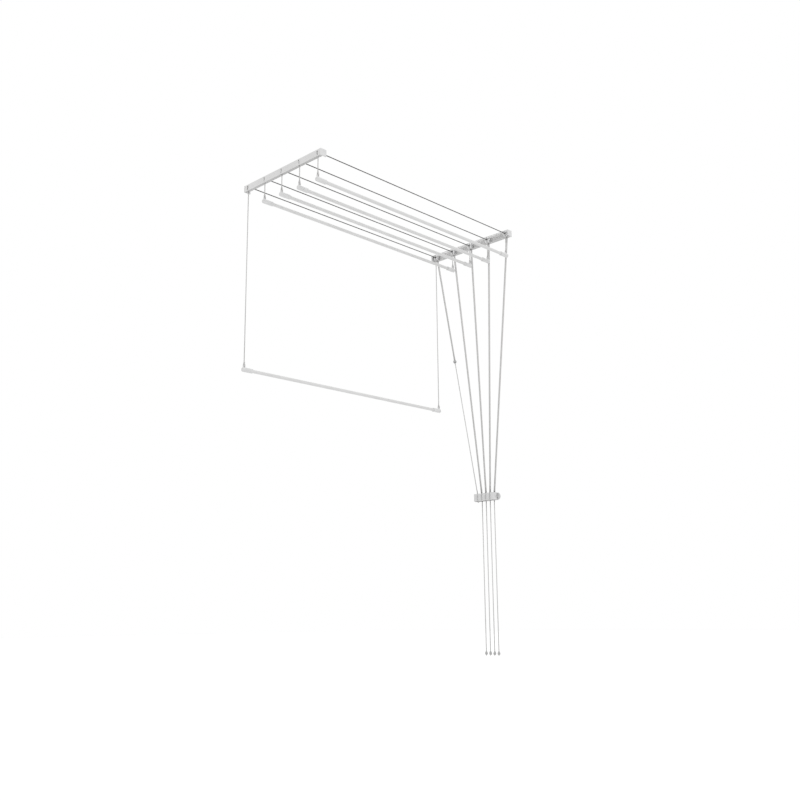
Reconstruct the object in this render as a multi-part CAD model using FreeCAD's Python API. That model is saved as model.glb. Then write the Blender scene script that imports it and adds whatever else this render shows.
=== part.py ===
import FreeCAD, Part
import math
import os

# Ceiling mounted pulley rack: two ceiling rails with five pulley stations each, five drying rods
# that hang on cords, and a wall cleat that holds the cords. Millimetres.
# X runs along the rods, from the far rail towards the cleat wall. Y runs along the rails, with
# rod 1 at the +Y end. Z is up, and z = 0 is the ceiling. The origin is centred between the four
# ceiling screws.

LINES = 5
LINE_PITCH = 112.0
TRAVEL = 690.0

CORD_D = 4.0
CORD_R = CORD_D / 2
GAP = 0.3

PULLEY_X = 591.5
RUN_Z = -8.5
WRAP_R = 8.0
PULLEY_Z = RUN_Z - WRAP_R
RIM_R = 9.7
GROOVE_FLOOR_R = WRAP_R - CORD_R - GAP
GROOVE_FLOOR = 1.95
GROOVE_MOUTH = 2.6
GROOVE_EDGE = 1.0
GROOVE_PITCH = 6.0
AXLE_R = 2.0
AXLE_CLEARANCE = 0.05
AXLE_HEAD_R = 3.2
AXLE_HEAD = 1.2

LEFT_DROP_X = -PULLEY_X - WRAP_R
RIGHT_DROP_X = PULLEY_X - WRAP_R
PULL_X = PULLEY_X + WRAP_R

RAIL_WEB_X = 605.0
RAIL_SHEET = 1.5
RAIL_HEIGHT = 28.0
RAIL_TOP_WIDTH = 30.0
RAIL_LIP_WIDTH = 14.0
RAIL_FAR_Y = 244.0
RAIL_NEAR_Y = -242.0
SLOT_WIDTH = 7.0
SLOT_TOP_Z = -4.0
SLOT_BOTTOM_Z = -24.0
CORD_MARGIN = 1.5
SCREW_X = 583.0
SCREW_Y = 1.5 * LINE_PITCH
SCREW_R = 2.5

CAP_LENGTH = 4.0
CAP_PLUG = 2.0
CAP_LAP = 1.0
CAP_ROUND = 3.0

CHEEK = 2.5
CHEEK_R = 8.0
SIDE_PLAY = 0.4
BRIDGE = 3.0
BLOCK_EAR = 5.0
PEG_R = 1.5

ROD_Z = -120.0
ROD_LEVELS = (0.0, 10.0, 5.0, -3.0, -4.0)
ROD_R = 7.0
ROD_WALL = 1.0
ROD_CAP_R = 9.5
ROD_CAP_LENGTH = 50.0
ROD_CAP_TIP = 18.0
ROD_CAP_ROUND = 4.0
DROP_TO_ROD_END = 8.5
EYE_WIDTH = 10.0
EYE_THICKNESS = 5.0
EYE_HEIGHT = 9.5
EYE_HOLE_R = 2.5

STATION_PITCH = 24.0
CLEAT_Y = -46.0
CLEAT_TOP_Z = -1242.0
CLEAT_HEIGHT = 34.0
CLEAT_ROOF = 4.0
CUP_BORE_R = 9.5
CUP_WALL = 2.6
CUP_REACH = 11.0
KEY_SLOT_WIDTH = 5.4
KEY_SLOT_REACH = 15.5
WALL_X = 613.0
BACK_PLATE = 3.0
BACK_LENGTH = 150.0
BACK_END_R = 16.9
BACK_SCREW_PITCH = 134.0
BACK_SCREW_R = 2.25
BOSS_R = 7.0
BOSS_HEIGHT = 3.0

BEAD_R = 8.2
BEAD_BORE_R = 5.3
BEAD_PLAY = 0.5
BEAD_Z = CLEAT_TOP_Z - CLEAT_ROOF - BEAD_R - 0.5
END_BEAD_R = 6.2
END_BEAD_HEIGHT = 16.0
END_BEAD_DROP = 14.0
END_BEAD_TOP_R = 2.5
END_BEAD_RIM = 1.0
END_BEAD_WIDEST = 3.5
END_BEAD_SHOULDER_R = 5.6
END_BEAD_SHOULDER = 1.0
KNOT_POCKET_R = 4.0
KNOT_POCKET = 6.0

PULL_STRAIGHT = 11.0
PULL_BEND_R = 30.0
SKEW_START = 20.0
SKEW_BEND_R = 1500.0
LONG_OFFSET = 2.1
SHORT_OFFSET = 3.0
TAIL_OVERLAP = 1.5
CUP_BEND_R = 20.0

UP = FreeCAD.Vector(0, 0, 1)
ALONG_X = FreeCAD.Vector(1, 0, 0)
ALONG_Y = FreeCAD.Vector(0, 1, 0)


def vec(x, y, z):
    return FreeCAD.Vector(x, y, z)


def box(x0, x1, y0, y1, z0, z1):
    low = vec(min(x0, x1), min(y0, y1), min(z0, z1))
    return Part.makeBox(abs(x1 - x0), abs(y1 - y0), abs(z1 - z0), low)


def save(node, shape):
    shape.exportStep("parts/" + node + ".step")


def line_y(line):
    return (3 - line) * LINE_PITCH


def station_y(line):
    return CLEAT_Y + (3 - line) * STATION_PITCH


def rod_z(line):
    """Rod 1 is down and the others are up. Hand-cut cords leave each one at its own level."""
    raised = ROD_Z + ROD_LEVELS[line - 1]
    return raised - TRAVEL if line == 1 else raised


def pull_start(line):
    """Where the middle of a pair of pull cords leaves the pulley and starts to slant."""
    return vec(PULL_X, line_y(line) + GROOVE_PITCH / 2, PULLEY_Z - PULL_STRAIGHT)


def locked_bead(line):
    return vec(PULL_X, station_y(line), BEAD_Z)


def pull_axis(line):
    """Unit vector up the slanted pull cords."""
    way = pull_start(line) - locked_bead(line)
    return way.normalize()


def stop_bead_centre(line):
    if line == 1:
        return locked_bead(line) + pull_axis(line) * TRAVEL
    return locked_bead(line)


def end_bead_centre(line):
    low = 0.0 if line == 1 else TRAVEL
    return vec(PULL_X, station_y(line), BEAD_Z - END_BEAD_DROP - low)


# ---- cords: straight runs joined by tangent arcs ----

def cord(points, radii):
    """A round tube through the points, with an arc of the given radius at each inner corner."""
    edges = []
    start = points[0]
    for corner, after, radius in zip(points[1:-1], points[2:], radii):
        incoming = (corner - start).normalize()
        outgoing = (after - corner).normalize()
        turn = incoming.getAngle(outgoing)
        tangent = radius * math.tan(turn / 2)
        arc_start = corner - incoming * tangent
        arc_end = corner + outgoing * tangent
        inward = (outgoing - incoming).normalize()
        centre = corner + inward * (radius / math.cos(turn / 2))
        middle = centre - inward * radius
        if (arc_start - start).Length > 1e-6:
            edges.append(Part.LineSegment(start, arc_start).toShape())
        edges.append(Part.Arc(arc_start, middle, arc_end).toShape())
        start = arc_end
    edges.append(Part.LineSegment(start, points[-1]).toShape())
    path = Part.Wire(edges)
    first = (points[1] - points[0]).normalize()
    section = Part.Wire(Part.makeCircle(CORD_R, points[0], first))
    tube = path.makePipeShell([section], True, False)
    expected = math.pi * CORD_R ** 2 * path.Length
    print("cord length %.1f, radii %s, volume ratio %.4f" % (path.Length, radii, tube.Volume / expected))
    return tube


def drop_cord(line, x):
    top = vec(x, line_y(line), PULLEY_Z)
    bottom = vec(x, line_y(line), rod_z(line) + ROD_CAP_R + EYE_HEIGHT)
    return Part.makeCylinder(CORD_R, top.z - bottom.z, bottom, UP)


def long_cord(line):
    """From the left drop over both pulleys to the stop bead. On line 1 it goes on to the cleat."""
    y = line_y(line)
    groove_y = y + GROOVE_PITCH
    points = [vec(LEFT_DROP_X, y, PULLEY_Z), vec(LEFT_DROP_X, y, RUN_Z)]
    points.append(vec(-PULLEY_X + SKEW_START, y, RUN_Z))
    points.append(vec(PULLEY_X - SKEW_START, groove_y, RUN_Z))
    points.append(vec(PULL_X, groove_y, RUN_Z))
    points.append(vec(PULL_X, groove_y, PULLEY_Z - PULL_STRAIGHT))
    radii = [WRAP_R, SKEW_BEND_R, SKEW_BEND_R, WRAP_R, PULL_BEND_R]
    if line == 1:
        above_bead = BEAD_Z + CORD_D
        bead_top = end_bead_centre(line).z + END_BEAD_HEIGHT / 2
        points.append(vec(PULL_X, station_y(line), above_bead))
        points.append(vec(PULL_X, station_y(line), bead_top))
        radii.append(CUP_BEND_R)
    else:
        points.append(locked_bead(line) + ALONG_Y * LONG_OFFSET)
    return cord(points, radii)


def short_cord(line):
    """From the right drop over the double pulley to the stop bead."""
    y = line_y(line)
    points = [vec(RIGHT_DROP_X, y, PULLEY_Z), vec(RIGHT_DROP_X, y, RUN_Z), vec(PULL_X, y, RUN_Z)]
    points.append(vec(PULL_X, y, PULLEY_Z - PULL_STRAIGHT))
    points.append(stop_bead_centre(line) - ALONG_Y * SHORT_OFFSET)
    return cord(points, [WRAP_R, WRAP_R, PULL_BEND_R])


def tail_cord(line):
    """The hanging end of a raised rod's cords. It starts inside the stop bead, between the two."""
    bottom = end_bead_centre(line) + UP * (END_BEAD_HEIGHT / 2)
    return Part.makeCylinder(CORD_R, BEAD_Z + TAIL_OVERLAP - bottom.z, bottom, UP)


# ---- ceiling rails ----

def pulley_width(side):
    grooves = 1 if side < 0 else 2
    return (grooves - 1) * GROOVE_PITCH + 2 * (GROOVE_MOUTH + GROOVE_EDGE)


def pulley_y(side, line):
    return line_y(line) if side < 0 else line_y(line) + GROOVE_PITCH / 2


def cheek_outer(side):
    """Half the width of a pulley block, over its two cheeks."""
    return pulley_width(side) / 2 + SIDE_PLAY + CHEEK


def lip_slit(side):
    """Half the width of the slit in the lip that lets a station's cords hang down through it."""
    between = 0.0 if side < 0 else GROOVE_PITCH
    return between / 2 + CORD_R + CORD_MARGIN


def rail(side):
    """Folded sheet channel: a top flange, a web on the outer side and a lip along the bottom."""
    web = side * RAIL_WEB_X
    inner_web = side * (RAIL_WEB_X - RAIL_SHEET)
    top_edge = side * (RAIL_WEB_X - RAIL_TOP_WIDTH)
    lip_edge = side * (RAIL_WEB_X - RAIL_LIP_WIDTH)
    near = RAIL_NEAR_Y
    far = RAIL_FAR_Y
    low = -RAIL_HEIGHT
    shape = box(web, top_edge, near, far, -RAIL_SHEET, 0)
    shape = shape.fuse(box(web, inner_web, near, far, low, 0))
    shape = shape.fuse(box(web, lip_edge, near, far, low, low + RAIL_SHEET)).removeSplitter()
    cuts = []
    for line in range(1, LINES + 1):
        y = pulley_y(side, line)
        slot = SLOT_WIDTH / 2
        cuts.append(box(web + side, inner_web - side, y - slot, y + slot, SLOT_BOTTOM_Z, SLOT_TOP_Z))
        slit = lip_slit(side)
        cuts.append(box(inner_web, lip_edge - side, y - slit, y + slit, low - 1, low + 2 * RAIL_SHEET))
        for peg_y in peg_places(side, line):
            cuts.append(flange_hole(PEG_R, side * PULLEY_X, peg_y))
    for y in (-SCREW_Y, SCREW_Y):
        cuts.append(flange_hole(SCREW_R, side * SCREW_X, y))
    return shape.cut(cuts)


def flange_hole(radius, x, y):
    return Part.makeCylinder(radius, 2 * RAIL_SHEET, vec(x, y, -2 * RAIL_SHEET), UP)


def rail_end_cap(side, end_y, outward):
    """A moulded cap over one end of a rail, with a plug between the top flange and the lip."""
    web = side * (RAIL_WEB_X + CAP_LAP)
    inner = side * (RAIL_WEB_X - RAIL_TOP_WIDTH)
    outer_y = end_y + outward * CAP_LENGTH
    cover = box(web, inner, end_y, outer_y, -RAIL_HEIGHT - CAP_LAP, 0)
    rounded = [edge for edge in cover.Edges if is_cap_round(edge, web, outer_y)]
    cover = cover.makeFillet(CAP_ROUND, rounded)
    plug_web = side * (RAIL_WEB_X - RAIL_SHEET)
    plug_inner = side * (RAIL_WEB_X - RAIL_LIP_WIDTH)
    plug_y = end_y - outward * CAP_PLUG
    plug = box(plug_web, plug_inner, end_y, plug_y, -RAIL_HEIGHT + RAIL_SHEET, -RAIL_SHEET)
    return cover.fuse(plug)


def is_cap_round(edge, web, outer_y):
    """The outer upright corner and the outer bottom edge of an end cap are rounded."""
    middle = edge.CenterOfMass
    on_end = abs(middle.y - outer_y) < 1e-6
    return on_end and (abs(middle.x - web) < 1e-6 or abs(middle.z + RAIL_HEIGHT + CAP_LAP) < 1e-6)


def rail_end_caps():
    caps = []
    for side in (-1, 1):
        caps.append(rail_end_cap(side, RAIL_FAR_Y, 1))
        caps.append(rail_end_cap(side, RAIL_NEAR_Y, -1))
    return Part.makeCompound(caps)


# ---- pulleys, their blocks and axles ----

def groove(centre):
    """The ring that one groove takes out of a pulley: a flat floor between flared walls."""
    outside = RIM_R + 1
    corners = [vec(0, -GROOVE_FLOOR, GROOVE_FLOOR_R), vec(0, GROOVE_FLOOR, GROOVE_FLOOR_R)]
    corners += [vec(0, GROOVE_MOUTH, RIM_R), vec(0, GROOVE_MOUTH, outside)]
    corners += [vec(0, -GROOVE_MOUTH, outside), vec(0, -GROOVE_MOUTH, RIM_R)]
    ring = Part.Face(Part.makePolygon(corners + corners[:1])).revolve(vec(0, 0, 0), ALONG_Y, 360)
    ring.translate(centre)
    return ring


def pulley(side, line):
    """A grooved roller: one groove on the left rail, two side by side on the right rail."""
    half = pulley_width(side) / 2
    bore = AXLE_R + AXLE_CLEARANCE
    base = vec(side * PULLEY_X, pulley_y(side, line) - half, PULLEY_Z)
    shape = Part.makeCylinder(RIM_R, 2 * half, base, ALONG_Y)
    shape = shape.cut(Part.makeCylinder(bore, 2 * half, base, ALONG_Y))
    offsets = [0.0] if side < 0 else [-GROOVE_PITCH / 2, GROOVE_PITCH / 2]
    for offset in offsets:
        shape = shape.cut(groove(base + ALONG_Y * (half + offset)))
    return shape


def peg_places(side, line):
    """Each block is pressed into the top flange with one peg at either side of its cheeks."""
    reach = cheek_outer(side) + BLOCK_EAR / 2
    return [pulley_y(side, line) - reach, pulley_y(side, line) + reach]


def pulley_block(side, line):
    """A moulded clevis under the top flange, with two round-ended cheeks."""
    x = side * PULLEY_X
    y = pulley_y(side, line)
    outer = cheek_outer(side)
    top = -RAIL_SHEET
    shape = box(x - CHEEK_R, x + CHEEK_R, y - outer - BLOCK_EAR, y + outer + BLOCK_EAR, top - BRIDGE, top)
    for cheek_y in (y - outer, y + outer - CHEEK):
        cheek = box(x - CHEEK_R, x + CHEEK_R, cheek_y, cheek_y + CHEEK, PULLEY_Z, top)
        cheek = cheek.fuse(Part.makeCylinder(CHEEK_R, CHEEK, vec(x, cheek_y, PULLEY_Z), ALONG_Y))
        shape = shape.fuse(cheek)
    for peg_y in peg_places(side, line):
        shape = shape.fuse(Part.makeCylinder(PEG_R, RAIL_SHEET, vec(x, peg_y, top), UP))
    bore = Part.makeCylinder(AXLE_R, 2 * outer, vec(x, y - outer, PULLEY_Z), ALONG_Y)
    return shape.cut(bore).removeSplitter()


def axle(side, line):
    """A riveted pin: a plain shank through both cheeks, with a low head at each end."""
    outer = cheek_outer(side)
    start = vec(side * PULLEY_X, pulley_y(side, line) - outer, PULLEY_Z)
    pin = Part.makeCylinder(AXLE_R, 2 * outer, start, ALONG_Y)
    for base in (start - ALONG_Y * AXLE_HEAD, start + ALONG_Y * (2 * outer)):
        pin = pin.fuse(Part.makeCylinder(AXLE_HEAD_R, AXLE_HEAD, base, ALONG_Y))
    return pin


def at_each_station(make):
    return Part.makeCompound([make(side, line) for side in (-1, 1) for line in range(1, LINES + 1)])


# ---- rods ----

def rod_ends():
    return LEFT_DROP_X - DROP_TO_ROD_END, RIGHT_DROP_X + DROP_TO_ROD_END


def rod_tube(line):
    left, right = rod_ends()
    start = vec(left + ROD_CAP_TIP, line_y(line), rod_z(line))
    length = right - left - 2 * ROD_CAP_TIP
    tube = Part.makeCylinder(ROD_R, length, start, ALONG_X)
    return tube.cut(Part.makeCylinder(ROD_R - ROD_WALL, length, start, ALONG_X))


def rod_cap(line, end_x, inward, drop_x):
    """A round plastic tip over the tube's end, with an upright eye for the cord on its top."""
    y = line_y(line)
    z = rod_z(line)
    way = ALONG_X * inward
    cap = Part.makeCylinder(ROD_CAP_R, ROD_CAP_LENGTH, vec(end_x, y, z), way)
    tip_edge = [edge for edge in cap.Edges if abs(edge.CenterOfMass.x - end_x) < 1e-6]
    cap = cap.makeFillet(ROD_CAP_ROUND, tip_edge)
    socket = vec(end_x + inward * ROD_CAP_TIP, y, z)
    cap = cap.cut(Part.makeCylinder(ROD_R, ROD_CAP_LENGTH, socket, way))
    top = z + ROD_CAP_R + EYE_HEIGHT
    half = EYE_WIDTH / 2
    thick = EYE_THICKNESS / 2
    eye = box(drop_x - half, drop_x + half, y - thick, y + thick, z + ROD_R, top)
    sides = [edge for edge in eye.Edges if is_eye_corner(edge, top)]
    eye = eye.makeFillet(half / 2, sides)
    hole_z = top - EYE_HEIGHT / 2
    hole = Part.makeCylinder(EYE_HOLE_R, EYE_THICKNESS, vec(drop_x, y - thick, hole_z), ALONG_Y)
    return cap.fuse(eye).cut(hole).removeSplitter()


def is_eye_corner(edge, top):
    """The two top edges of an eye that run through its thickness are rounded."""
    ends = [vertex.Point for vertex in edge.Vertexes]
    across = abs(ends[0].y - ends[1].y) > 1e-6
    return across and abs(ends[0].z - top) < 1e-6


def rod_end_caps(line):
    left, right = rod_ends()
    caps = [rod_cap(line, left, 1, LEFT_DROP_X), rod_cap(line, right, -1, RIGHT_DROP_X)]
    return Part.makeCompound(caps)


# ---- wall cleat and beads ----

def oval(x_back, reach, y, radius, z0, z1):
    """An upright oval prism that reaches from a round back towards the room."""
    shape = Part.makeCylinder(radius, z1 - z0, vec(x_back, y, z0), UP)
    shape = shape.fuse(Part.makeCylinder(radius, z1 - z0, vec(x_back - reach, y, z0), UP))
    return shape.fuse(box(x_back - reach, x_back, y - radius, y + radius, z0, z1))


def cleat():
    """Five bead cups on a back plate with two screw bosses.

    Each cup's roof has a round way out for the bead, along the slant of its cords, and a narrow
    slot beside it that holds the bead down.
    """
    top = CLEAT_TOP_Z
    low = top - CLEAT_HEIGHT
    roof = top - CLEAT_ROOF
    middle = top - CLEAT_HEIGHT / 2
    half = BACK_LENGTH / 2
    plate = box(WALL_X - BACK_PLATE, WALL_X, CLEAT_Y - half, CLEAT_Y + half, low, top)
    corners = [edge for edge in plate.Edges if is_plate_corner(edge)]
    shape = plate.makeFillet(BACK_END_R, corners)
    for line in range(1, LINES + 1):
        shape = shape.fuse(oval(PULL_X, CUP_REACH, station_y(line), CUP_BORE_R + CUP_WALL, low, top))
        web = CUP_BORE_R / 2
        y = station_y(line)
        shape = shape.fuse(box(PULL_X, WALL_X, y - web, y + web, low, top))
    for line in range(1, LINES):
        y = (station_y(line) + station_y(line + 1)) / 2
        bridge = STATION_PITCH / 4
        shape = shape.fuse(box(PULL_X - CUP_REACH / 2, WALL_X, y - bridge, y + bridge, roof, top))
    for y in (CLEAT_Y - BACK_SCREW_PITCH / 2, CLEAT_Y + BACK_SCREW_PITCH / 2):
        boss = vec(WALL_X - BACK_PLATE - BOSS_HEIGHT, y, middle)
        shape = shape.fuse(Part.makeCylinder(BOSS_R, BOSS_HEIGHT + 1, boss, ALONG_X))
    cuts = []
    for line in range(1, LINES + 1):
        y = station_y(line)
        way_out = Part.makeCylinder(BEAD_R + BEAD_PLAY, CLEAT_HEIGHT, locked_bead(line), pull_axis(line))
        cuts.append(way_out)
        cuts.append(oval(PULL_X, CUP_REACH, y, CUP_BORE_R, low - 1, roof))
        cuts.append(oval(PULL_X, KEY_SLOT_REACH, y, KEY_SLOT_WIDTH / 2, roof - 1, top + 1))
    for y in (CLEAT_Y - BACK_SCREW_PITCH / 2, CLEAT_Y + BACK_SCREW_PITCH / 2):
        start = vec(WALL_X - BACK_PLATE - BOSS_HEIGHT - 1, y, middle)
        cuts.append(Part.makeCylinder(BACK_SCREW_R, BACK_PLATE + BOSS_HEIGHT + 2, start, ALONG_X))
    return shape.cut(cuts).removeSplitter()


def is_plate_corner(edge):
    """The four short edges through the thickness of the back plate are rounded."""
    ends = [vertex.Point for vertex in edge.Vertexes]
    return abs(ends[0].x - ends[1].x) > 1e-6


def stop_bead(line):
    """A round bead on the slanted pull cords, with a bore that both cords pass through."""
    centre = stop_bead_centre(line)
    way = pull_axis(line)
    ball = Part.makeSphere(BEAD_R, centre)
    return ball.cut(Part.makeCylinder(BEAD_BORE_R, 4 * BEAD_R, centre - way * (2 * BEAD_R), way))


def end_bead(line):
    """A pear-shaped bead on a cord's end, with a pocket for the knot in its underside."""
    centre = end_bead_centre(line)
    top = END_BEAD_HEIGHT / 2
    foot = vec(0, 0, -top)
    rim = vec(KNOT_POCKET_R + END_BEAD_RIM, 0, -top)
    widest = vec(END_BEAD_R, 0, -END_BEAD_WIDEST)
    shoulder = vec(END_BEAD_SHOULDER_R, 0, END_BEAD_SHOULDER)
    neck = vec(END_BEAD_TOP_R, 0, top)
    crown = vec(0, 0, top)
    edges = [Part.LineSegment(foot, rim).toShape()]
    edges.append(Part.Arc(rim, widest, shoulder).toShape())
    edges.append(Part.LineSegment(shoulder, neck).toShape())
    edges.append(Part.LineSegment(neck, crown).toShape())
    edges.append(Part.LineSegment(crown, foot).toShape())
    bead = Part.Face(Part.Wire(edges)).revolve(vec(0, 0, 0), UP, 360)
    bead = bead.cut(Part.makeCylinder(KNOT_POCKET_R, KNOT_POCKET, vec(0, 0, -top), UP))
    bead.translate(centre)
    return bead


def main():
    os.makedirs("parts", exist_ok=True)
    save("left_rail", rail(-1))
    save("right_rail", rail(1))
    save("rail_end_caps", rail_end_caps())
    save("pulley_blocks", at_each_station(pulley_block))
    save("pulley_axles", at_each_station(axle))
    save("cord_cleat", cleat())
    for line in range(1, LINES + 1):
        number = str(line)
        save("left_pulley_" + number, pulley(-1, line))
        save("right_pulley_" + number, pulley(1, line))
        save("rod_" + number, rod_tube(line))
        save("rod_end_caps_" + number, rod_end_caps(line))
        save("stop_bead_" + number, stop_bead(line))
        save("end_bead_" + number, end_bead(line))
        save("left_drop_cord_" + number, drop_cord(line, LEFT_DROP_X))
        save("right_drop_cord_" + number, drop_cord(line, RIGHT_DROP_X))
        save("long_cord_" + number, long_cord(line))
        save("short_cord_" + number, short_cord(line))
        if line > 1:
            save("tail_cord_" + number, tail_cord(line))


main()
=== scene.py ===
"""Ceiling mounted pulley rack: five drying rods on cords that run over two ceiling rails to a wall cleat.

Lengths are in metres, in the row frame: X runs along the rods, Y across them, and Z up to the ceiling at 0.
Line 1 has the highest Y and line 5 the lowest. The fixed body is "root".
"""

import math

import bmesh
import bpy
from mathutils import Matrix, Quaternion, Vector


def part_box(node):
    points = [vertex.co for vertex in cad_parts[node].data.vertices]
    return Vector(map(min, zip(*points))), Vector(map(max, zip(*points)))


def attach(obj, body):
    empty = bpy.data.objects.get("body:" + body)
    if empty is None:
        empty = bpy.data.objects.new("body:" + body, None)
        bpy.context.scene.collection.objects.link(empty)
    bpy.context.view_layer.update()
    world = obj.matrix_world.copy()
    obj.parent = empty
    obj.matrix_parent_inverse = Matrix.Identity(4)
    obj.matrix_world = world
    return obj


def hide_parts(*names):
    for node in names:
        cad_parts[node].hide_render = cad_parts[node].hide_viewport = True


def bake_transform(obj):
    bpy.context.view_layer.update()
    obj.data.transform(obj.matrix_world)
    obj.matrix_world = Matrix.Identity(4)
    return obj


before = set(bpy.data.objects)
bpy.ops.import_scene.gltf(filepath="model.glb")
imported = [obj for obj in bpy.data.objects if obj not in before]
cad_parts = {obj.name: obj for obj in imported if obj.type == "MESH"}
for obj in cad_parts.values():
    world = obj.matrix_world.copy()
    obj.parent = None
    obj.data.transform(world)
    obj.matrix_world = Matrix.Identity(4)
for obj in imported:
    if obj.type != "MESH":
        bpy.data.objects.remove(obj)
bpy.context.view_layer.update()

LINES = (1, 2, 3, 4, 5)
MIDDLE_LINE = 3
LOWERED_LINE = 1

# ---- the camera ----

CAMERA_PLACE = Vector((-2.935, -2.931, -1.812))
CAMERA_YAW = math.radians(44.19)
CAMERA_PITCH = math.radians(12.64)
CAMERA_ROLL = math.radians(-0.57)
CAMERA_LENS = 44.19
CAMERA_SENSOR = 36.0


def make_camera():
    camera = bpy.data.objects.new("camera", bpy.data.cameras.new("camera"))
    bpy.context.scene.collection.objects.link(camera)
    camera.location = CAMERA_PLACE
    level = math.cos(CAMERA_PITCH)
    way = Vector((math.cos(CAMERA_YAW) * level, math.sin(CAMERA_YAW) * level, math.sin(CAMERA_PITCH)))
    camera.rotation_mode = "QUATERNION"
    level_camera = way.to_track_quat("-Z", "Y")
    camera.rotation_quaternion = level_camera @ Quaternion((0.0, 0.0, 1.0), CAMERA_ROLL)
    camera.data.lens = CAMERA_LENS
    camera.data.sensor_width = CAMERA_SENSOR
    camera.data.clip_end = 50.0
    bpy.context.scene.camera = camera


make_camera()

# ---- places on the rack ----

CORD_D = 0.004
CORD_R = CORD_D / 2
LINE_PITCH = 0.112

# over the pulleys: the axles' height, the height of the runs, and where the cords leave the grooves.
# A long cord crosses over to its own groove between the two skew ends.
PULLEY_Z = -0.0165
RUN_Z = -0.0085
GROOVE_PITCH = 0.006
LEFT_DROP_X = -0.5995
RIGHT_DROP_X = 0.5835
PULL_X = 0.5995
PULL_START_Z = -0.0275
SKEW_END_X = 0.5785

# at the cleat: its five stations, and a locked stop bead in each
STATION_PITCH = 0.024
CLEAT_Y = -0.046
BEAD_Z = -1.2547

# where a stop bead's two cords end, to either side of the bead's centre
LONG_OFFSET = 0.0021
SHORT_OFFSET = 0.003

# the eye on a rod cap: its top above the rod's axis, and its hole below that top
EYE_TOP = 0.019
EYE_HOLE_DROP = 0.00475


def line_y(line):
    return (MIDDLE_LINE - line) * LINE_PITCH


def station_y(line):
    return CLEAT_Y + (MIDDLE_LINE - line) * STATION_PITCH


def up(height):
    return Vector((0.0, 0.0, height))


def centre(node):
    low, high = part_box(node)
    return (low + high) / 2


def rod_z(line):
    return centre(f"rod_{line}").z


def locked_bead(line):
    """Where the line's stop bead sits while the cleat holds it."""
    return Vector((PULL_X, station_y(line), BEAD_Z))


def stop_bead(line):
    return centre(f"stop_bead_{line}")


def pull_start(line):
    """Where the line's two cords leave the right pulley on their way down."""
    return Vector((PULL_X, line_y(line) + GROOVE_PITCH / 2, PULL_START_Z))


def end_bead_top(line):
    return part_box(f"end_bead_{line}")[1].z


# ---- making cords ----

SPLINE_ORDER = 3
TUBE_SIDES = 12
TIP_TAPER = 0.72


def smooth_line(points, steps):
    """Points read from the NURBS spline that has the given ones as its control points."""
    curve = bpy.data.curves.new("route", "CURVE")
    curve.dimensions = "3D"
    spline = curve.splines.new("NURBS")
    spline.points.add(len(points) - 1)
    for point, place in zip(spline.points, points):
        point.co = (*place, 1.0)
    spline.order_u = SPLINE_ORDER
    spline.use_endpoint_u = True
    spline.resolution_u = steps
    curve.resolution_u = steps
    holder = bpy.data.objects.new("route", curve)
    mesh = bpy.data.meshes.new_from_object(holder)
    line = [vertex.co.copy() for vertex in mesh.vertices]
    bpy.data.meshes.remove(mesh)
    bpy.data.objects.remove(holder)
    bpy.data.curves.remove(curve)
    return line


def link(name, mesh):
    piece = bpy.data.objects.new(name, mesh)
    bpy.context.scene.collection.objects.link(piece)
    return piece


def tube(name, line, radius=CORD_R, tapered_tip=False):
    """A round tube along the line. U goes once round it, and V counts diameters along it."""
    mesh = bpy.data.meshes.new(name)
    build = bmesh.new()
    uv = build.loops.layers.uv.new("braid")
    ways = []
    for index in range(len(line)):
        before = line[max(index - 1, 0)]
        after = line[min(index + 1, len(line) - 1)]
        ways.append((after - before).normalized())
    across = ways[0].orthogonal().normalized()
    rings = []
    lengths = []
    along = 0.0
    for index, (place, way) in enumerate(zip(line, ways)):
        if index:
            along += (place - line[index - 1]).length
            across = (across - way * across.dot(way)).normalized()
        lengths.append(along / (2 * radius))
        other = way.cross(across)
        size = radius
        if tapered_tip and index == len(line) - 1:
            size = radius * TIP_TAPER
        ring = []
        for side in range(TUBE_SIDES):
            angle = 2 * math.pi * side / TUBE_SIDES
            ring.append(build.verts.new(place + (across * math.cos(angle) + other * math.sin(angle)) * size))
        rings.append(ring)
    for index, (ring, next_ring) in enumerate(zip(rings, rings[1:])):
        for side in range(TUBE_SIDES):
            after = (side + 1) % TUBE_SIDES
            face = build.faces.new((ring[side], ring[after], next_ring[after], next_ring[side]))
            face.smooth = True
            places = ((side, index), (side + 1, index), (side + 1, index + 1), (side, index + 1))
            for loop, (turn, step) in zip(face.loops, places):
                loop[uv].uv = (turn / TUBE_SIDES, lengths[step])
    build.faces.new(list(reversed(rings[0])))
    build.faces.new(rings[-1])
    build.to_mesh(mesh)
    build.free()
    return link(name, mesh)


def stretch(piece, body, still, moving):
    """Bakes the piece's place into its mesh; the piece stays where it is."""
    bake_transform(piece)


def small_piece(name, line, body, radius=CORD_R, tapered_tip=False):
    """A knot or loop of cord that moves with one body."""
    piece = tube(name, line, radius, tapered_tip)
    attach(piece, body)
    return piece


# ---- the knot and loop at a rod's eye ----

KNOT_TURNS = 2
KNOT_STEPS = 14
KNOT_READ_STEPS = 4
KNOT_STRAND = 0.72
KNOT_R = CORD_R + 0.0006
KNOT_LIFT = 0.0045
KNOT_CORE = 0.0015
KNOT_START = Vector((0.0, 0.0003, -KNOT_CORE))
KNOT_LOOSE_END = (
    Vector((0.0010, 0.0035, 0.0015)),
    Vector((0.0025, 0.0055, 0.0045)),
    Vector((0.0032, 0.0062, 0.0085)),
)

LOOP_READ_STEPS = 8
LOOP_SIDE = 0.0050
LOOP_SHOULDER = 0.0026
LOOP_TOP = 0.0055
LOOP_TOP_SIDE = 0.0011


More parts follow.
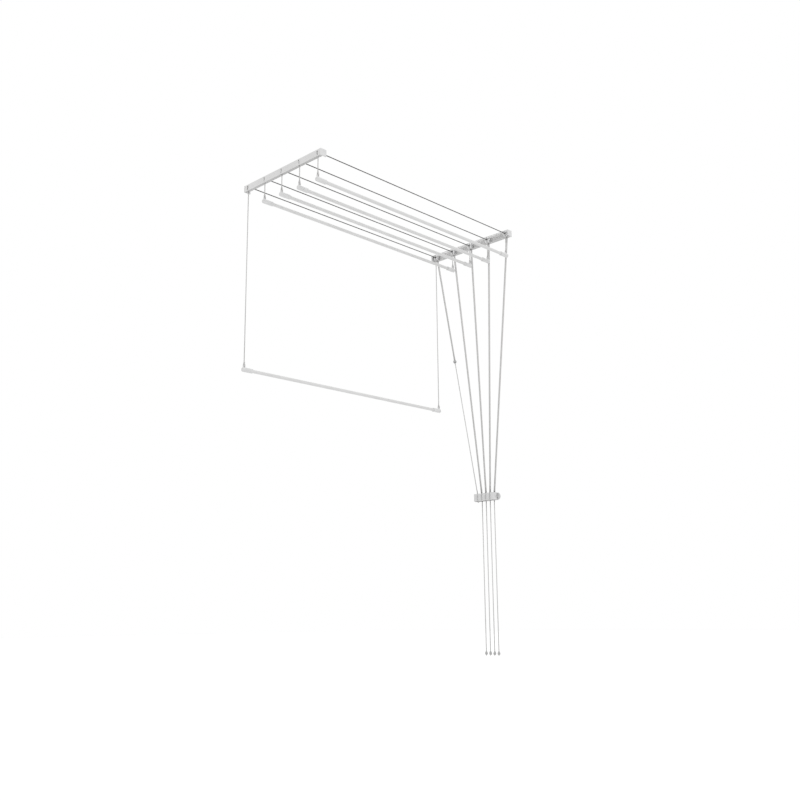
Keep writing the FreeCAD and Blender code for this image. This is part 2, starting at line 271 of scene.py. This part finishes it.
def wrapped_knot(name, foot, body):
    """A barrel knot: the cord's end wound round its standing part, with a short sealed end."""
    points = [foot + KNOT_START]
    for step in range(KNOT_TURNS * KNOT_STEPS + 1):
        angle = 2 * math.pi * step / KNOT_STEPS
        rise = step / KNOT_STEPS * CORD_D * KNOT_STRAND
        points.append(foot + Vector((math.cos(angle) * KNOT_R, math.sin(angle) * KNOT_R, rise)))
    last = points[-1]
    points += [last + offset for offset in KNOT_LOOSE_END]
    route = smooth_line(points, KNOT_READ_STEPS)
    return small_piece(name, route, body, CORD_R * KNOT_STRAND, tapered_tip=True)


def eye_loop(name, eye, body):
    """The loop that passes through the eye on a rod cap and up into the knot above it."""
    outline = (
        (LOOP_TOP_SIDE, LOOP_TOP),
        (LOOP_SIDE, LOOP_SHOULDER),
        (LOOP_SIDE, -EYE_HOLE_DROP),
        (0.0, -EYE_HOLE_DROP),
        (-LOOP_SIDE, -EYE_HOLE_DROP),
        (-LOOP_SIDE, LOOP_SHOULDER),
        (-LOOP_TOP_SIDE, LOOP_TOP),
    )
    points = [eye + Vector((0.0, y, z)) for y, z in outline]
    return small_piece(name, smooth_line(points, LOOP_READ_STEPS), body)


# ---- the hanging cords and the cords over the pulleys ----

STRAIGHT_STEPS = 1
PULLEY_STEPS = 16


def straight_line(top, bottom):
    """Both ends and the middle of a straight cord."""
    return smooth_line([top, (top + bottom) / 2, bottom], STRAIGHT_STEPS)


def make_drop(line, side, x):
    """A straight hanging cord from a pulley to the knot at a rod's eye."""
    name = f"{side}_drop_{line}"
    body = f"drying_rod_{line}"
    y = line_y(line)
    eye = Vector((x, y, rod_z(line) + EYE_TOP))
    knot_foot = eye + up(KNOT_LIFT)
    top = Vector((x, y, PULLEY_Z))
    bottom = knot_foot + up(KNOT_CORE)
    route = straight_line(top, bottom)
    piece = tube(f"{name}_cord", route)
    knot = wrapped_knot(f"{name}_knot", knot_foot, body)
    loop = eye_loop(f"{name}_loop", eye, body)
    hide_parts(f"{side}_drop_cord_{line}")
    stretch(piece, body, top, bottom)
    return [piece, knot, loop]


def make_pull(line, kind, way, bead):
    """A cord over its pulleys and down to the stop bead."""
    route = smooth_line([*way, bead], PULLEY_STEPS)
    piece = tube(f"{kind}_pull_{line}_cord", route)
    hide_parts(f"{kind}_cord_{line}")
    stretch(piece, f"raised_stop_{line}", pull_start(line), bead)
    return [piece]


def make_long(line):
    """From the left pulley along to the right one, then down. It drifts over to its own groove on the way."""
    y = line_y(line)
    groove_y = y + GROOVE_PITCH
    way = (
        Vector((LEFT_DROP_X, y, PULLEY_Z)),
        Vector((LEFT_DROP_X, y, RUN_Z)),
        Vector((-SKEW_END_X, y, RUN_Z)),
        Vector((SKEW_END_X, groove_y, RUN_Z)),
        Vector((PULL_X, groove_y, RUN_Z)),
        Vector((PULL_X, groove_y, PULL_START_Z)),
    )
    return make_pull(line, "long", way, stop_bead(line) + Vector((0.0, LONG_OFFSET, 0.0)))


def make_short(line):
    """From the rod's side of the right pulley, over it and down."""
    y = line_y(line)
    way = (
        Vector((RIGHT_DROP_X, y, PULLEY_Z)),
        Vector((RIGHT_DROP_X, y, RUN_Z)),
        Vector((PULL_X, y, RUN_Z)),
        Vector((PULL_X, y, PULL_START_Z)),
    )
    return make_pull(line, "short", way, stop_bead(line) - Vector((0.0, SHORT_OFFSET, 0.0)))


# ---- the single cord below each stop bead ----

STUB_LOW = 0.005
STUB_HIGH = 0.003
TAIL_INSET = 0.002

END_KNOT_LIFT = 0.0038
END_KNOT_R = 0.0017
END_KNOT_TURNS = 1.5
END_KNOT_STEPS = 12
END_KNOT_PITCH = 0.0024
END_KNOT_LOOSE_END = (
    Vector((0.0004, 0.0006, -0.0056)),
    Vector((0.0, 0.0002, -0.0080)),
)


def below_cleat(line):
    """Both ends of the cord from the cleat down to the end bead."""
    top = locked_bead(line) - up(TAIL_INSET)
    bottom = Vector((PULL_X, station_y(line), end_bead_top(line) - TAIL_INSET))
    return top, bottom


def make_stub(name, body, still, moving):
    """A short cord in the cleat."""
    stub = tube(name, [still, moving])
    stretch(stub, body, still, moving)
    return stub


def make_end_knot(line):
    """The knot in the pocket under an end bead, with a short sealed end below it."""
    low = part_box(f"end_bead_{line}")[0]
    foot = Vector((PULL_X, station_y(line), low.z + END_KNOT_LIFT))
    points = []
    for step in range(int(END_KNOT_TURNS * END_KNOT_STEPS) + 1):
        angle = 2 * math.pi * step / END_KNOT_STEPS
        sink = -END_KNOT_PITCH * step / END_KNOT_STEPS
        points.append(foot + Vector((math.cos(angle) * END_KNOT_R, math.sin(angle) * END_KNOT_R, sink)))
    points += [foot + offset for offset in END_KNOT_LOOSE_END]
    route = smooth_line(points, KNOT_READ_STEPS)
    return small_piece(f"end_knot_{line}", route, f"lowered_stop_{line}", tapered_tip=True)


def make_lowered_tail(line, knot):
    """Below the stop bead of a lowered rod, which is out of the cleat: the cord from it to the cleat."""
    top = stop_bead(line)
    bottom = locked_bead(line)
    route = straight_line(top, bottom)
    piece = tube(f"tail_{line}_cord", route)
    stub = make_stub(f"tail_{line}_lower_end", f"lowered_stop_{line}", *below_cleat(line))
    stretch(piece, f"raised_stop_{line}", bottom, top)
    return [piece, stub, knot]


def make_raised_tail(line, knot):
    """Below the stop bead of a raised rod, which is in the cleat: the cord from there to the end bead."""
    top, bottom = below_cleat(line)
    route = straight_line(top, bottom)
    piece = tube(f"tail_{line}_cord", route)
    low = locked_bead(line) - up(STUB_LOW)
    high = locked_bead(line) + up(STUB_HIGH)
    stub = make_stub(f"tail_{line}_upper_end", f"raised_stop_{line}", low, high)
    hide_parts(f"tail_cord_{line}")
    stretch(piece, f"lowered_stop_{line}", top, bottom)
    return [piece, stub, knot]


def make_tail(line):
    knot = make_end_knot(line)
    if line == LOWERED_LINE:
        return make_lowered_tail(line, knot)
    return make_raised_tail(line, knot)


cords = []
for number in LINES:
    cords += make_drop(number, "left", LEFT_DROP_X)
    cords += make_drop(number, "right", RIGHT_DROP_X)
    cords += make_long(number)
    cords += make_short(number)
    cords += make_tail(number)

# ---- materials ----


class Finish:
    """A procedural material with short ways to add its nodes."""

    def __init__(self, name, colour, roughness):
        self.material = bpy.data.materials.new(name)
        self.material.use_nodes = True
        self.nodes = self.material.node_tree.nodes
        self.links = self.material.node_tree.links
        self.shader = self.nodes["Principled BSDF"]
        self.shader.inputs["Base Color"].default_value = (*colour, 1.0)
        self.shader.inputs["Roughness"].default_value = roughness

    def join(self, source, target):
        self.links.new(source, target)

    def place(self, stretch=(1.0, 1.0, 1.0)):
        """The place in the row frame, stretched along its axes."""
        coordinates = self.nodes.new("ShaderNodeTexCoord")
        mapping = self.nodes.new("ShaderNodeMapping")
        mapping.inputs["Scale"].default_value = stretch
        self.join(coordinates.outputs["Object"], mapping.inputs["Vector"])
        return mapping.outputs["Vector"]

    def noise(self, place, scale, detail=3.0, roughness=0.55):
        node = self.nodes.new("ShaderNodeTexNoise")
        node.inputs["Scale"].default_value = scale
        node.inputs["Detail"].default_value = detail
        node.inputs["Roughness"].default_value = roughness
        self.join(place, node.inputs["Vector"])
        return node.outputs["Fac"]

    def ramp(self, value, low, high, low_at=0.3, high_at=0.7):
        """Colours from low to high as the value goes from low_at to high_at."""
        node = self.nodes.new("ShaderNodeValToRGB")
        first, last = node.color_ramp.elements
        first.position = low_at
        first.color = (*low, 1.0)
        last.position = high_at
        last.color = (*high, 1.0)
        self.join(value, node.inputs["Fac"])
        return node.outputs["Color"]

    def range(self, value, low, high, low_at=0.3, high_at=0.7):
        """Numbers from low to high as the value goes from low_at to high_at."""
        node = self.nodes.new("ShaderNodeMapRange")
        node.inputs["From Min"].default_value = low_at
        node.inputs["From Max"].default_value = high_at
        node.inputs["To Min"].default_value = low
        node.inputs["To Max"].default_value = high
        self.join(value, node.inputs["Value"])
        return node.outputs["Result"]

    def height_of(self, vector):
        """The Z part of a place or a direction."""
        node = self.nodes.new("ShaderNodeSeparateXYZ")
        self.join(vector, node.inputs["Vector"])
        return node.outputs["Z"]

    def math(self, operation, first, second=0.0):
        node = self.nodes.new("ShaderNodeMath")
        node.operation = operation
        for socket, value in zip(node.inputs, (first, second)):
            if isinstance(value, (int, float)):
                socket.default_value = value
            else:
                self.join(value, socket)
        return node.outputs["Value"]

    def scaled(self, colour, factor):
        node = self.nodes.new("ShaderNodeVectorMath")
        node.operation = "SCALE"
        self.join(colour, node.inputs[0])
        self.join(factor, node.inputs["Scale"])
        return node.outputs["Vector"]

    def colour(self, source):
        self.join(source, self.shader.inputs["Base Color"])

    def roughness(self, source):
        self.join(source, self.shader.inputs["Roughness"])

    def bump(self, height, strength, distance):
        node = self.nodes.new("ShaderNodeBump")
        node.inputs["Strength"].default_value = strength
        node.inputs["Distance"].default_value = distance
        self.join(height, node.inputs["Height"])
        self.join(node.outputs["Normal"], self.shader.inputs["Normal"])


def tint(grey, warmth=0.0):
    """A grey with a little more red and less blue as it gets warmer."""
    return (grey + warmth, grey, grey - warmth)


# a rail's faces that look down get painted shade on the lip, below these heights, and painted light inside,
# above them
LIP_PAINTED_SHADE = 0.68
INSIDE_PAINTED_LIGHT = 1.4
LIP_LOW_Z = -0.026
LIP_HIGH_Z = -0.022
# the painted shade and painted light are full where the normal's Z is below the first of these, and none
# above the second
DOWN_FULL_Z = -0.9
DOWN_NONE_Z = -0.5


def powder_coat():
    """Satin powder coat with a fine orange peel and slow drifts of tone, with painted shade on the lip's
    downward faces and painted light on the downward faces inside.
    """
    finish = Finish("powder_coat", tint(0.60), roughness=0.42)
    place = finish.place()
    coat = finish.ramp(finish.noise(place, scale=9.0), tint(0.595, 0.003), tint(0.645, 0.001))
    faces = finish.nodes.new("ShaderNodeNewGeometry")
    upward = finish.height_of(faces.outputs["True Normal"])
    facing_down = finish.range(upward, 1.0, 0.0, low_at=DOWN_FULL_Z, high_at=DOWN_NONE_Z)
    lip_painted_darkening = LIP_PAINTED_SHADE - 1.0
    inside_painted_lightening = INSIDE_PAINTED_LIGHT - 1.0
    height = finish.height_of(place)
    painted_tone_shift = finish.range(height, lip_painted_darkening, inside_painted_lightening, low_at=LIP_LOW_Z, high_at=LIP_HIGH_Z)
    # painted shade on the lip and painted light inside, as a factor on the coat's colour for faces that look
    # down
    painted_light_factor = finish.math("ADD", finish.math("MULTIPLY", facing_down, painted_tone_shift), 1.0)
    finish.colour(finish.scaled(coat, painted_light_factor))
    finish.roughness(finish.range(finish.noise(place, scale=60.0), 0.36, 0.48))
    finish.bump(finish.noise(place, scale=900.0, detail=2.0), strength=0.35, distance=0.00012)
    return finish


def enamel():
    """Smooth enamel on drawn tube: faint lengthwise drawing marks under a soft gloss."""
    finish = Finish("rod_enamel", tint(0.60), roughness=0.3)
    marks = finish.noise(finish.place(stretch=(0.04, 1.0, 1.0)), scale=700.0, detail=4.0)
    drift = finish.noise(finish.place(), scale=14.0)
    finish.colour(finish.ramp(drift, tint(0.58, 0.002), tint(0.62, 0.001)))
    finish.roughness(finish.range(marks, 0.26, 0.37))
    finish.bump(marks, strength=0.18, distance=0.00006)
    return finish


def moulded(name, grey, roughness, grain=0.4):
    """Injection moulded plastic with a fine grain and faint flow marks."""
    finish = Finish(name, tint(grey), roughness)
    place = finish.place()
    flow = finish.noise(finish.place(stretch=(0.35, 1.0, 1.0)), scale=120.0, detail=4.0)
    finish.colour(finish.ramp(flow, tint(grey * 0.94), tint(grey * 1.05)))
    sheen = finish.noise(place, scale=500.0, detail=2.0)
    finish.roughness(finish.range(sheen, roughness - 0.06, roughness + 0.07))
    finish.bump(finish.noise(place, scale=2400.0, detail=2.0), strength=grain, distance=0.00008)
    return finish


def plated_steel():
    """Zinc plated pin: a cool metal with a turned, slightly mottled face."""
    finish = Finish("plated_steel", tint(0.56), roughness=0.35)
    finish.shader.inputs["Metallic"].default_value = 1.0
    mottle = finish.noise(finish.place(), scale=800.0, detail=4.0)
    finish.colour(finish.ramp(mottle, (0.68, 0.69, 0.71), (0.80, 0.81, 0.83)))
    finish.roughness(finish.range(mottle, 0.28, 0.46))
    finish.bump(mottle, strength=0.2, distance=0.00005)
    return finish


# the braid: how many strands of one winding are passed once round the cord, and one diameter along it
STRANDS_ROUND = 16
STRANDS_ALONG = 3.2

# the runs under the ceiling are much darker than the hanging cords: this share of the tone is left above
# the second height, and all of it below the first
DARK_RUN = 0.09
DARK_LOW_Z = -0.024
DARK_HIGH_Z = -0.012


def braid():
    """A braid of two windings that cross, much darker where it runs close under the ceiling."""
    finish = Finish("braided_cord", tint(0.42), roughness=0.78)
    finish.shader.inputs["Sheen Weight"].default_value = 0.25
    finish.shader.inputs["Sheen Roughness"].default_value = 0.5
    coordinates = finish.nodes.new("ShaderNodeUVMap")
    coordinates.uv_map = "braid"
    parts = finish.nodes.new("ShaderNodeSeparateXYZ")
    finish.join(coordinates.outputs["UV"], parts.inputs["Vector"])
    turn = finish.math("MULTIPLY", parts.outputs["X"], STRANDS_ROUND * math.pi)
    along = finish.math("MULTIPLY", parts.outputs["Y"], STRANDS_ALONG * math.pi)
    right = finish.math("SINE", finish.math("ADD", turn, along))
    left = finish.math("SINE", finish.math("SUBTRACT", turn, along))
    strands = finish.math("MAXIMUM", finish.math("ABSOLUTE", right), finish.math("ABSOLUTE", left))
    crossing = finish.math("MULTIPLY", right, left)
    relief = finish.math("ADD", strands, finish.math("MULTIPLY", crossing, 0.25))
    strand_colour = finish.ramp(relief, tint(0.37, 0.004), tint(0.56, 0.004), low_at=0.45, high_at=1.1)
    height = finish.height_of(finish.place())
    share = finish.range(height, 1.0, DARK_RUN, low_at=DARK_LOW_Z, high_at=DARK_HIGH_Z)
    finish.colour(finish.scaled(strand_colour, share))
    finish.roughness(finish.range(relief, 0.88, 0.7, low_at=0.4, high_at=1.2))
    finish.bump(relief, strength=0.6, distance=0.00025)
    return finish


FINE_GRAIN = 0.12

finishes = {
    "rail_paint": powder_coat(),
    "rod_enamel": enamel(),
    "white_plastic": moulded("moulded_white", 0.61, 0.45),
    # the pulley blocks are the caps' white plastic, made lighter as painted light against the shade inside
    # the rails
    "white_plastic_painted_light": moulded("moulded_white_painted_light", 0.84, 0.45),
    "pulley_plastic": moulded("pulley_nylon", 0.78, 0.35, FINE_GRAIN),
    "steel_pin": plated_steel(),
    "cleat_plastic": moulded("moulded_grey", 0.58, 0.5),
    "bead_plastic": moulded("bead_gloss", 0.36, 0.28, FINE_GRAIN),
    "cord": braid(),
}


def finish_of(node):
    """The finish of a CAD node, by the family that its name starts with. Any other node is a cord."""
    families = (
        ("rail_paint", ("left_rail", "right_rail")),
        ("white_plastic", ("rail_end_caps", "rod_end_caps")),
        # the pulley blocks get the lighter copy of the white plastic, as painted light
        ("white_plastic_painted_light", ("pulley_blocks",)),
        ("rod_enamel", ("rod_",)),
        ("pulley_plastic", ("left_pulley", "right_pulley")),
        ("steel_pin", ("pulley_axles",)),
        ("cleat_plastic", ("cord_cleat",)),
        ("bead_plastic", ("stop_bead", "end_bead")),
    )
    for name, starts in families:
        if node.startswith(starts):
            return name
    return "cord"


def give(piece, name):
    material = finishes[name].material
    if not piece.data.materials:
        piece.data.materials.append(material)
    for slot in piece.material_slots:
        slot.link = "OBJECT"
        slot.material = material


for node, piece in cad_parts.items():
    give(piece, finish_of(node))
for piece in cords:
    give(piece, "cord")

# ---- floor and light ----

FLOOR_Z = -2.3
FLOOR_SIZE = 30.0
FLOOR_CELLS = 8

KEY_WAY = Vector((0.25, 0.75, -1.0))
KEY_SOFTNESS = math.radians(50.0)
KEY_STRENGTH = 0.6


def make_stage():
    build = bmesh.new()
    bmesh.ops.create_grid(build, x_segments=FLOOR_CELLS, y_segments=FLOOR_CELLS, size=FLOOR_SIZE)
    mesh = bpy.data.meshes.new("floor")
    build.to_mesh(mesh)
    build.free()
    floor = link("floor", mesh)
    floor.location = (0.0, 0.0, FLOOR_Z)
    finish = Finish("floor_paint", tint(0.93), roughness=0.9)
    finish.colour(finish.ramp(finish.noise(finish.place(), scale=0.7), tint(0.92), tint(0.94)))
    floor.data.materials.append(finish.material)


def make_world():
    """Even white light from all round."""
    world = bpy.data.worlds.new("studio")
    bpy.context.scene.world = world
    world.use_nodes = True
    nodes = world.node_tree.nodes
    nodes["Background"].inputs["Color"].default_value = (1.0, 1.0, 1.0, 1.0)
    nodes["Background"].inputs["Strength"].default_value = 1.0


def make_key_light():
    """A very soft light from above and from the near end of the rails, even over the whole floor."""
    light = bpy.data.objects.new("key", bpy.data.lights.new("key", "SUN"))
    bpy.context.scene.collection.objects.link(light)
    light.rotation_mode = "QUATERNION"
    light.rotation_quaternion = KEY_WAY.to_track_quat("-Z", "Y")
    light.data.angle = KEY_SOFTNESS
    light.data.energy = KEY_STRENGTH


make_stage()
make_world()
make_key_light()
bpy.context.scene.view_settings.view_transform = "Standard"
